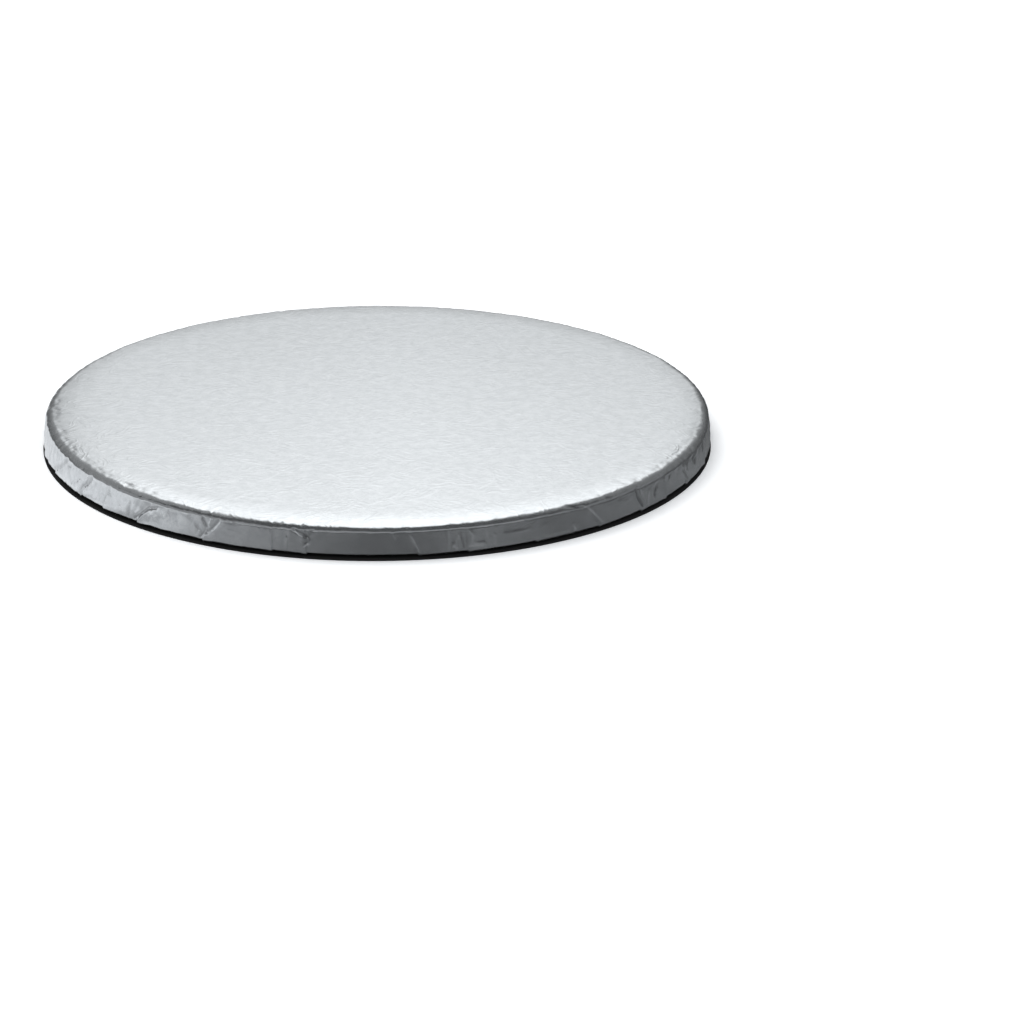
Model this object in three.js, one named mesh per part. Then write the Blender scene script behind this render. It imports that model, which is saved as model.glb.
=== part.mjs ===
// A round cake board: a thick stiff disc wrapped in silver foil.
// Units are millimetres and +Z is up. The origin is the centre of the underside, and the front is -Y.
// Board, foil and base paper are glued for good, so they are one closed solid.

import * as THREE from 'three';

// Driving dimensions of the board
const DIAMETER = 254;
const THICKNESS = 12.5;

// The edge of the face leans over gently, and the foil then turns down round the rim
const FACE_ROLL_WIDTH = 10;
const FACE_ROLL_DROP = 0.35;
const RIM_WIDTH = 4.2;
const RIM_DROP = 2.4;
const RIM_WAVE = 0.45;

// The foil turns under the board at the foot, and a flat paper disc covers its edge
const FOOT_ROUND = 1.5;
const HEM_WIDTH = 11;
const PAPER_STEP = 0.5;

// The spare foil on the wall lies in pleats, which widen from the rim down to the foot
const PLEAT_DEPTH = 0.55;
const PLEAT_STEP_WIDTH = 0.5;
const PLEAT_TOP_WIDTH = 0.6;
const PLEAT_SPACING = 15;
const LONGEST_CHORD = 9;

// Pleats round the front half: degrees from the front towards +X, how far the foot of the
// crease lies to the right of its top, the width of the flap, and the side the flap lies to
const FRONT_PLEATS = [
  { at: -80, lean: -1.2, flap: 2.0, side: 1 },
  { at: -69, lean: -8.0, flap: 2.4, side: 1 },
  { at: -58, lean: -5.4, flap: 3.4, side: -1 },
  { at: -51, lean: -3.0, flap: 1.8, side: 1 },
  { at: -41, lean: -8.0, flap: 2.6, side: 1 },
  { at: -28, lean: -4.0, flap: 4.6, side: 1 },
  { at: -16.3, lean: 0.2, flap: 1.6, side: -1 },
  { at: -10.5, lean: 0.8, flap: 3.0, side: -1 },
  { at: 7.3, lean: 2.6, flap: 2.4, side: 1 },
  { at: 16, lean: 1.0, flap: 3.6, side: 1 },
  { at: 28.5, lean: -0.6, flap: 1.6, side: 1 },
  { at: 39.7, lean: 5.6, flap: 3.0, side: 1 },
  { at: 50.8, lean: 2.6, flap: 4.4, side: 1 },
  { at: 58.6, lean: 0.6, flap: 1.8, side: -1 },
  { at: 66, lean: 2.4, flap: 1.8, side: 1 },
  { at: 77, lean: -0.8, flap: 2.2, side: -1 },
];

// Limits on the other pleats, whose places and widths vary round the back half
const SPACING_VARIATION = 0.5;
const LARGEST_LEAN = 2.5;
const NARROWEST_FLAP = 1.6;
const WIDEST_FLAP = 4.6;

// Height of each crease line within a pleat, as a share of the pleat depth below the outside
const FLAP_EDGE = 0;
const FLAP_ROOT = 0.35;
const PANEL_LOW = 1;

// Growth of a pleat along the foil, which is 0 at the top of the rim and 1 at the foot
const RISE_AT_RIM = 0.3;
const SPREAD_ON_HEM = 0.8;

// Steps in the section
const FACE_STEPS = 2;
const RIM_STEPS = 4;
const WALL_STEPS = 4;
const FOOT_STEPS = 2;

const FOIL = new THREE.MeshStandardMaterial({ color: 0xd6d9dc, roughness: 0.32, metalness: 0.9 });

const RADIUS = DIAMETER / 2;
const RIGHT_ANGLE = Math.PI / 2;

// Values from 0 to 1 that look irregular and are the same every time
function varied(index, step) {
  return (index * step) % 1;
}

function backPleats() {
  const count = Math.max(4, Math.round((Math.PI * RADIUS) / PLEAT_SPACING));
  const pitch = 180 / count;
  const pleats = [];
  for (let index = 0; index < count; index += 1) {
    const shift = SPACING_VARIATION * (varied(index + 1, 0.618034) - 0.5);
    pleats.push({
      at: 90 + pitch * (index + 0.5 + shift),
      lean: LARGEST_LEAN * (2 * varied(index + 1, 0.754878) - 1),
      flap: NARROWEST_FLAP + (WIDEST_FLAP - NARROWEST_FLAP) * varied(index + 1, 0.56984),
      side: varied(index + 1, 0.414214) < 0.5 ? 1 : -1,
    });
  }
  return pleats;
}

// Crease lines of one pleat, left to right, as distances along the wall from the pleat's place.
// The part that spreads is 0 at the rim and grows down the wall.
function creasesOf(pleat, room) {
  const need = Math.abs(pleat.lean) / 2 + (1 + SPREAD_ON_HEM) * pleat.flap + PLEAT_STEP_WIDTH;
  const fit = Math.min(1, room / need);
  const half = (PLEAT_STEP_WIDTH / 2) * fit;
  const top = (PLEAT_TOP_WIDTH + PLEAT_STEP_WIDTH / 2) * fit;
  const spread = Math.max(pleat.flap - PLEAT_TOP_WIDTH, 0) * fit;
  const lean = pleat.lean * fit;
  const outer = { offset: -half, spread: 0, lean, level: PANEL_LOW };
  const edge = { offset: half, spread: 0, lean, level: FLAP_EDGE };
  const root = { offset: half + top, spread, lean, level: FLAP_ROOT };
  if (pleat.side > 0) {
    return [outer, edge, root];
  }
  return [root, edge, outer].map((line) => ({ ...line, offset: -line.offset, spread: -line.spread }));
}

// All the lines that run down the wrap: three creases for each pleat, and plain lines between
function columnsRound() {
  const pleats = [...FRONT_PLEATS, ...backPleats()].sort((a, b) => a.at - b.at);
  const arc = (degrees) => THREE.MathUtils.degToRad(degrees) * RADIUS;
  const gapAfter = (index) => {
    const next = pleats[(index + 1) % pleats.length];
    const turn = index + 1 < pleats.length ? 0 : 360;
    return arc(next.at + turn - pleats[index].at);
  };
  const columns = [];
  pleats.forEach((pleat, index) => {
    const before = gapAfter((index + pleats.length - 1) % pleats.length);
    const room = Math.min(before, gapAfter(index)) * 0.45;
    for (const line of creasesOf(pleat, room)) {
      columns.push({ ...line, place: arc(pleat.at) });
    }
    columns.push({ gap: gapAfter(index) });
  });
  return fillPanels(columns);
}

// Replaces each gap by plain lines whose place and height lie between the creases on each side
function fillPanels(columns) {
  const filled = [];
  columns.forEach((column, index) => {
    if (column.gap === undefined) {
      filled.push(column);
      return;
    }
    const last = columns[index - 1];
    const first = columns[(index + 1) % columns.length];
    const count = Math.max(1, Math.ceil(column.gap / LONGEST_CHORD) - 1);
    for (let step = 1; step <= count; step += 1) {
      const share = step / (count + 1);
      const blend = (key) => THREE.MathUtils.lerp(last[key], first[key], share);
      filled.push({
        place: last.place + column.gap * share,
        offset: blend('offset'),
        spread: blend('spread'),
        lean: blend('lean'),
        level: blend('level'),
      });
    }
  });
  return filled;
}

// One place on the section: how far in from the outside, how high, the way a dent goes in,
// how far a pleat stands up there, and how far it has spread
function station(inset, height, inward, run) {
  const rise = run > 0 ? Math.min(1, RISE_AT_RIM + (1 - RISE_AT_RIM) * run) : 0;
  return { inset, height, inward, rise, spread: run };
}

// Half of the section, from the flat of the face, round the edge and under to the base paper
function sectionStations() {
  const rimHeight = THICKNESS - FACE_ROLL_DROP - RIM_DROP;
  const footHeight = PAPER_STEP + FOOT_ROUND;
  const stations = [];
  for (let step = 0; step < FACE_STEPS; step += 1) {
    const share = step / FACE_STEPS;
    const inset = RIM_WIDTH + FACE_ROLL_WIDTH * (1 - share);
    stations.push(station(inset, THICKNESS - FACE_ROLL_DROP * share ** 2, [0, -1], 0));
  }
  for (let step = 0; step < RIM_STEPS; step += 1) {
    const turn = (RIGHT_ANGLE * step) / RIM_STEPS;
    const inset = RIM_WIDTH * (1 - Math.sin(turn));
    const height = rimHeight + RIM_DROP * Math.cos(turn);
    const early = (step / RIM_STEPS) * 0.1;
    stations.push(station(inset, height, [-Math.sin(turn), -Math.cos(turn)], early));
  }
  for (let step = 0; step < WALL_STEPS; step += 1) {
    const share = step / WALL_STEPS;
    const height = THREE.MathUtils.lerp(rimHeight, footHeight, share);
    stations.push(station(0, height, [-1, 0], 0.1 + 0.9 * share));
  }
  for (let step = 0; step <= FOOT_STEPS; step += 1) {
    const turn = (RIGHT_ANGLE * step) / FOOT_STEPS;
    const inset = FOOT_ROUND * (1 - Math.cos(turn));
    const height = PAPER_STEP + FOOT_ROUND * (1 - Math.sin(turn));
    stations.push(station(inset, height, [-Math.cos(turn), Math.sin(turn)], 1));
  }
  stations.push(station(HEM_WIDTH, PAPER_STEP, [0, 1], 1 + SPREAD_ON_HEM));
  stations.push(station(HEM_WIDTH, 0, [0, 0], 1 + SPREAD_ON_HEM));
  return stations;
}

// The rim isn't drawn evenly: its inner border wanders in and out round the board
function rimShift(angle, inset) {
  const wave = (Math.sin(23 * angle) + Math.sin(41 * angle + 1)) / 2;
  const outside = Math.min(1, inset / RIM_WIDTH);
  const inside = Math.min(1, (RIM_WIDTH + FACE_ROLL_WIDTH - inset) / FACE_ROLL_WIDTH);
  return RIM_WAVE * wave * outside * inside;
}

function pointAt(column, place) {
  const along = column.place + column.offset + column.spread * place.spread + column.lean * (place.spread - 0.5);
  const angle = along / RADIUS;
  const dent = PLEAT_DEPTH * place.rise * column.level;
  const onRim = place.height > THICKNESS / 2 && place.inset > 0;
  const inset = place.inset + (onRim ? rimShift(angle, place.inset) : 0);
  const radius = RADIUS - inset + place.inward[0] * dent;
  return [radius * Math.sin(angle), -radius * Math.cos(angle), place.height + place.inward[1] * dent];
}

function wrapGeometry() {
  const columns = columnsRound();
  const stations = sectionStations();
  const positions = [];
  for (const place of stations) {
    for (const column of columns) {
      positions.push(...pointAt(column, place));
    }
  }
  const count = columns.length;
  const faces = [];
  for (let row = 0; row + 1 < stations.length; row += 1) {
    for (let column = 0; column < count; column += 1) {
      const next = (column + 1) % count;
      const [a, b] = [row * count + column, row * count + next];
      const [c, d] = [a + count, b + count];
      faces.push(a, c, b, b, c, d);
    }
  }
  const faceCentre = positions.length / 3;
  positions.push(0, 0, THICKNESS);
  positions.push(0, 0, 0);
  const lastRow = (stations.length - 1) * count;
  for (let column = 0; column < count; column += 1) {
    const next = (column + 1) % count;
    faces.push(faceCentre, column, next);
    faces.push(faceCentre + 1, lastRow + next, lastRow + column);
  }
  const geometry = new THREE.BufferGeometry();
  geometry.setAttribute('position', new THREE.Float32BufferAttribute(positions, 3));
  geometry.setIndex(faces);
  geometry.computeVertexNormals();
  return geometry;
}

function cakeBoard() {
  const mesh = new THREE.Mesh(wrapGeometry(), FOIL);
  mesh.name = 'cake_board';
  return mesh;
}

const board = new THREE.Group();
board.add(cakeBoard());

export default board;
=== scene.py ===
"""Looks of a round foil-wrapped cake board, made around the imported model.

Blender's lengths are metres. The board's own sizes are in millimetres, as its maker gives them, and
are turned into metres where a mesh, a node or a lamp takes them.
"""

import logging
import math
import random
from dataclasses import dataclass, field
from enum import Enum

import bpy
import numpy as np
from mathutils import Matrix, Vector


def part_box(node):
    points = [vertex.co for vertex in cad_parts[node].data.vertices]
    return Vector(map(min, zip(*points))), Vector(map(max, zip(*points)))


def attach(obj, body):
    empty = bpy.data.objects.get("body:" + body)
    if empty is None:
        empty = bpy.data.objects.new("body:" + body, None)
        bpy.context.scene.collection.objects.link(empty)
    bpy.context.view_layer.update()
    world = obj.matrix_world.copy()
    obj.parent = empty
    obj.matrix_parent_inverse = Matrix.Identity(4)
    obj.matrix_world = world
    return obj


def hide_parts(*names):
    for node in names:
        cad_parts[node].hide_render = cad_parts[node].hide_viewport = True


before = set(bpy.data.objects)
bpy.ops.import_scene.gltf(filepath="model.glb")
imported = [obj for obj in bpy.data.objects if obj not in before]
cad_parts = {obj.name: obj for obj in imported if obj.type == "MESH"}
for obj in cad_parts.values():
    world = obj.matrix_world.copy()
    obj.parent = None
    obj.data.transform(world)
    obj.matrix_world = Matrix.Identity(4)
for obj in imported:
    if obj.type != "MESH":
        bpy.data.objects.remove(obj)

log = logging.getLogger("cake_board")

MM = 0.001
BODY = "root"
NODE = "cake_board"
SHEET_MAP = "sheet"
WALL_SHARE = "wall_share"
# Painted shade along the grooves of the creases, which darkens the foil's colour there
FOLD_SHADE = "painted_fold_shade"
FOLD_SCUFF = "fold_scuff"

# Places and the value at each, in order of the places
Table = tuple[tuple[float, float], ...]

Socket = bpy.types.NodeSocket

WHITE = (1, 1, 1, 1)


class Lie(Enum):
    """The side that the flap of a pleat lies to, seen from outside."""

    LEFT = -1
    RIGHT = 1


class Bend(Enum):
    """The form of a crease across its line."""

    RIDGE = "ridge"
    GROOVE = "groove"


@dataclass(frozen=True)
class Pleat:
    """One tuck of spare foil on the wall.

    Its place is in degrees from the front towards +X, and its lean and flap are in millimetres.
    """

    at: float
    lean: float
    flap: float
    lie: Lie


@dataclass(frozen=True)
class Crease:
    """A bend in the foil along a line, besides the folds of the pleats.

    The path's points are (degrees from the front, millimetres down the foil from the start of the rim).
    """

    path: Table
    height: float
    width: float
    bend: Bend


@dataclass(frozen=True)
class Knot:
    """A fold line of the wrap: its place, how it moves with the spread of the pleats, and its depth."""

    place: float
    spread: float
    lean: float
    level: float


@dataclass(frozen=True)
class Station:
    """One place on the board's section, from the rim round the foot and under to the paper.

    The inward direction is (outwards from the axis, up), and it is the way that a dent goes in.
    """

    along: float
    inset: float
    height: float
    inward: tuple[float, float]
    rise: float
    spread: float
    wall: float


@dataclass(frozen=True)
class Section:
    """The board's section in millimetres, of which the outside and the height come from the frame.

    The slack and the crumpled state of the wall vary round the board, by degrees from the front.
    """

    radius: float
    thickness: float
    face_roll_width: float = 10.0
    face_roll_drop: float = 0.35
    rim_width: float = 4.2
    rim_drop: float = 2.4
    rim_wave: float = 0.45
    rim_turns: tuple[int, int] = (23, 41)
    rim_fringe: float = 0.3
    fringe_turns: tuple[int, int] = (97, 151)
    border_width: float = 3.2
    foot_round: float = 1.5
    hem_width: float = 11.0
    hem_lap: float = 2.0
    paper_step: float = 0.5
    rise_at_rim: float = 0.3
    spread_at_rim: float = 0.1
    spread_on_hem: float = 0.8
    slack_foot: float = 3.0
    slack: Table = (
        (-125, 0.0), (-90, 0.9), (-80, 1.6), (-70, 2.0), (-58, 1.8), (-45, 1.2), (-30, 0.5), (-20, 0.0),
        (45, 0.0), (65, 0.9), (90, 1.1), (120, 0.0),
    )
    crumpled: Table = (
        (-150, 1.0), (-90, 2.8), (-60, 3.2), (-34, 2.4), (-22, 1.1), (40, 1.0), (62, 1.6), (90, 1.6),
        (150, 1.0),
    )
    border_rows: int = 5
    rim_rows: int = 12
    wall_rows: int = 15
    foot_rows: int = 5
    hem_rows: int = 3

    @classmethod
    def from_frame(cls, node: str) -> "Section":
        """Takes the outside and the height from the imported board.

        Args:
            node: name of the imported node.

        Returns:
            The section, in millimetres.
        """
        low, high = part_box(node)
        across = max(high[0] - low[0], high[1] - low[1])
        return cls(radius=across / 2 / MM, thickness=(high[2] - low[2]) / MM)

    def face_height(self, inset: float) -> float:
        """Gives the height of the face, which leans over gently towards the rim.

        Args:
            inset: distance in from the outside.

        Returns:
            The height over the surface that the board stands on.
        """
        share = 1 - (inset - self.rim_width) / self.face_roll_width
        return self.thickness - self.face_roll_drop * max(share, 0.0) ** 2

    def stations(self) -> list[Station]:
        """Walks down the section from just inside the rim to the edge of the paper.

        Returns:
            The stations in order, each with the length of foil from the start of the rim.
        """
        rim_foot = self.thickness - self.face_roll_drop - self.rim_drop
        foot_top = self.paper_step + self.foot_round
        raw: list[tuple] = []
        for row in range(self.border_rows):
            inset = self.rim_width + self.border_width * (1 - row / self.border_rows)
            raw.append((inset, self.face_height(inset), (0.0, -1.0), 0.0, 0.0, 0.0))
        for row in range(self.rim_rows):
            share = row / self.rim_rows
            turn = math.radians(90 * share)
            inset = self.rim_width * (1 - math.sin(turn))
            height = rim_foot + self.rim_drop * math.cos(turn)
            inward = (-math.sin(turn), -math.cos(turn))
            rise, spread = self.rise_at_rim * share**2, self.spread_at_rim * share
            raw.append((inset, height, inward, rise, spread, share))
        for row in range(self.wall_rows):
            share = row / self.wall_rows
            height = rim_foot + (foot_top - rim_foot) * share
            rise = self.rise_at_rim + (1 - self.rise_at_rim) * share
            spread = self.spread_at_rim + (1 - self.spread_at_rim) * share
            raw.append((0.0, height, (-1.0, 0.0), rise, spread, 1.0))
        for row in range(self.foot_rows):
            turn = math.radians(90 * row / self.foot_rows)
            inset = self.foot_round * (1 - math.cos(turn))
            height = self.paper_step + self.foot_round * (1 - math.sin(turn))
            raw.append((inset, height, (-math.cos(turn), math.sin(turn)), 1.0, 1.0, 1.0))
        for row in range(self.hem_rows + 1):
            share = row / self.hem_rows
            inset = self.foot_round + (self.hem_width + self.hem_lap - self.foot_round) * share
            raw.append((inset, self.paper_step, (0.0, 1.0), 1.0, 1 + self.spread_on_hem * share, 1.0))
        stations: list[Station] = []
        along = -self.border_width
        for index, (inset, height, inward, rise, spread, wall) in enumerate(raw):
            if index:
                along += math.hypot(inset - raw[index - 1][0], height - raw[index - 1][1])
            stations.append(Station(along, inset, height, inward, rise, spread, wall))
        return stations

    def rim_shift(self, angle: np.ndarray, inset: float) -> np.ndarray:
        """Moves the inner border of the rim in and out round the board, as hand-wrapped foil does.

        Args:
            angle: angles from the front.
            inset: distance in from the outside.

        Returns:
            How far each point moves inwards.
        """
        slow, fast = self.rim_turns
        wave = (np.sin(slow * angle) + np.sin(fast * angle + 1)) / 2
        slow, fast = self.fringe_turns
        fine = np.sin(slow * angle + 2 * np.sin(7 * angle))
        fine = fine + np.sin(fast * angle + 3 * np.sin(5 * angle + 1))
        wave = wave + self.rim_fringe / self.rim_wave * fine / 2
        outside = min(1.0, inset / self.rim_width)
        left = self.rim_width + self.face_roll_width - inset
        inside = min(1.0, max(0.0, left / self.face_roll_width))
        return (self.rim_wave * wave * outside + self.around(self.slack, angle)) * inside

    @staticmethod
    def around(table: Table, angle: np.ndarray) -> np.ndarray:
        """Reads a table of values by degrees from the front.

        Args:
            table: degrees and values, in order.
            angle: angles from the front.

        Returns:
            The values at the angles.
        """
        degrees = (np.degrees(angle) + 180) % 360 - 180
        places, values = zip(*table)
        return np.interp(degrees, places, values)

    def lean_share(self, height: float) -> float:
        """Gives the share of the slack that the wall has at a height, from 1 at its top to 0 low down.

        Args:
            height: the height over the surface that the board stands on.

        Returns:
            The share.
        """
        low, high = self.slack_foot, self.thickness - self.face_roll_drop - self.rim_drop
        return min(1.0, max(0.0, (height - low) / (high - low)))


class PleatPlan:
    """Places the pleats: listed round the front, and by a rule with some variation round the back."""

    # Place in degrees, lean and flap of the pleats of the front half, by the side that the flap lies to
    FRONT_LEFT = (
        (-58, -5.4, 3.4), (-16.3, 0.2, 1.6), (-10.5, 0.8, 3.0), (58.6, 0.6, 1.8), (77, -0.8, 2.2),
    )
    FRONT_RIGHT = (
        (-80, -1.2, 2.0), (-69, -8.0, 2.4), (-51, -3.0, 1.8), (-41, -8.0, 2.6), (-28, -4.0, 4.6),
        (7.3, 2.6, 2.4), (16, 1.0, 3.6), (28.5, -0.6, 1.6), (39.7, 5.6, 3.0), (50.8, 2.6, 4.4),
        (66, 2.4, 1.8),
    )
    SPACING = 15.0
    SPACING_VARIATION = 0.5
    LEAST_COUNT = 4
    PLACE_STEP, FLAP_STEP, LEAN_STEP, LIE_STEP = 0.618034, 0.56984, 0.754878, 0.414214
    LARGEST_LEAN = 2.5
    NARROWEST_FLAP = 1.6
    WIDEST_FLAP = 4.6
    ROOM_SHARE = 0.45
    STEP_WIDTH = 0.5
    TOP_WIDTH = 0.6
    FRONT_PART = -0.1
    FLAP_EDGE = 0.0
    FLAP_ROOT = 0.35
    PANEL_LOW = 1.0

    def __init__(self, section: Section) -> None:
        """Keeps the section that the pleats go round."""
        self.section = section

    @staticmethod
    def varied(index: int, step: float) -> float:
        """Gives a value from 0 to 1 that looks irregular and is the same every time."""
        return (index * step) % 1

    def back(self) -> list[Pleat]:
        """Spaces the pleats of the back half.

        Returns:
            Pleats from the right-hand side round the back to the left-hand side.
        """
        count = max(self.LEAST_COUNT, round(math.pi * self.section.radius / self.SPACING))
        pitch = 180 / count
        pleats = []
        for index in range(count):
            shift = self.SPACING_VARIATION * (self.varied(index + 1, self.PLACE_STEP) - 0.5)
            flap = self.NARROWEST_FLAP
            flap += (self.WIDEST_FLAP - self.NARROWEST_FLAP) * self.varied(index + 1, self.FLAP_STEP)
            lean = self.LARGEST_LEAN * (2 * self.varied(index + 1, self.LEAN_STEP) - 1)
            lie = Lie.RIGHT if self.varied(index + 1, self.LIE_STEP) < 0.5 else Lie.LEFT
            pleats.append(Pleat(90 + pitch * (index + 0.5 + shift), lean, flap, lie))
        return pleats

    def all(self) -> list[Pleat]:
        """Gathers the pleats of both halves.

        Returns:
            Every pleat in order round the board.
        """
        sides = ((self.FRONT_LEFT, Lie.LEFT), (self.FRONT_RIGHT, Lie.RIGHT))
        front = [Pleat(*row, lie) for rows, lie in sides for row in rows]
        return sorted([*front, *self.back()], key=lambda pleat: pleat.at)

    def arc(self, degrees: float) -> float:
        """Turns degrees round the board into millimetres along its outside."""
        return math.radians(degrees) * self.section.radius

    def knots_of(self, pleat: Pleat, room: float) -> list[Knot]:
        """Places the three fold lines of one pleat.

        Args:
            pleat: the pleat.
            room: the length of wall that it may take up on each side.

        Returns:
            The fold lines from left to right.
        """
        need = abs(pleat.lean) / 2 + (1 + self.section.spread_on_hem) * pleat.flap + self.STEP_WIDTH
        fit = min(1.0, room / need)
        half = self.STEP_WIDTH / 2 * fit
        root = half + (self.TOP_WIDTH + self.STEP_WIDTH / 2) * fit
        spread = max(pleat.flap - self.TOP_WIDTH, 0.0) * fit
        lean = pleat.lean * fit
        lines = [(-half, 0.0, self.PANEL_LOW), (half, 0.0, self.FLAP_EDGE), (root, spread, self.FLAP_ROOT)]
        if pleat.lie is Lie.LEFT:
            lines = [(-place, -grows, level) for place, grows, level in reversed(lines)]
        start = self.arc(pleat.at)
        return [Knot(start + place, grows, lean, level) for place, grows, level in lines]

    def columns(self, front: float, back: float) -> list[Knot]:
        """Draws the lines that run down the wrap, with plain ones filled in between the folds.

        Args:
            front: the widest step between two lines on the front half.
            back: the widest step on the back half.

        Returns:
            The lines in order round the board.
        """
        pleats = self.all()
        turn = self.arc(360)
        gaps = []
        for index, pleat in enumerate(pleats):
            following = pleats[(index + 1) % len(pleats)]
            gaps.append((self.arc(following.at) - self.arc(pleat.at)) % turn)
        knots: list[Knot] = []
        for index, pleat in enumerate(pleats):
            knots += self.knots_of(pleat, self.ROOM_SHARE * min(gaps[index - 1], gaps[index]))
        columns: list[Knot] = []
        for index, knot in enumerate(knots):
            following = knots[(index + 1) % len(knots)]
            gap = (following.place - knot.place) % turn
            widest = gap + abs(following.spread - knot.spread)
            on_front = math.cos(knot.place / self.section.radius) > self.FRONT_PART
            count = max(1, math.ceil(widest / (front if on_front else back)))
            for step in range(count):
                share = step / count
                columns.append(
                    Knot(
                        knot.place + gap * share,
                        knot.spread + (following.spread - knot.spread) * share,
                        knot.lean + (following.lean - knot.lean) * share,
                        knot.level + (following.level - knot.level) * share,
                    )
                )
        return columns


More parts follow.
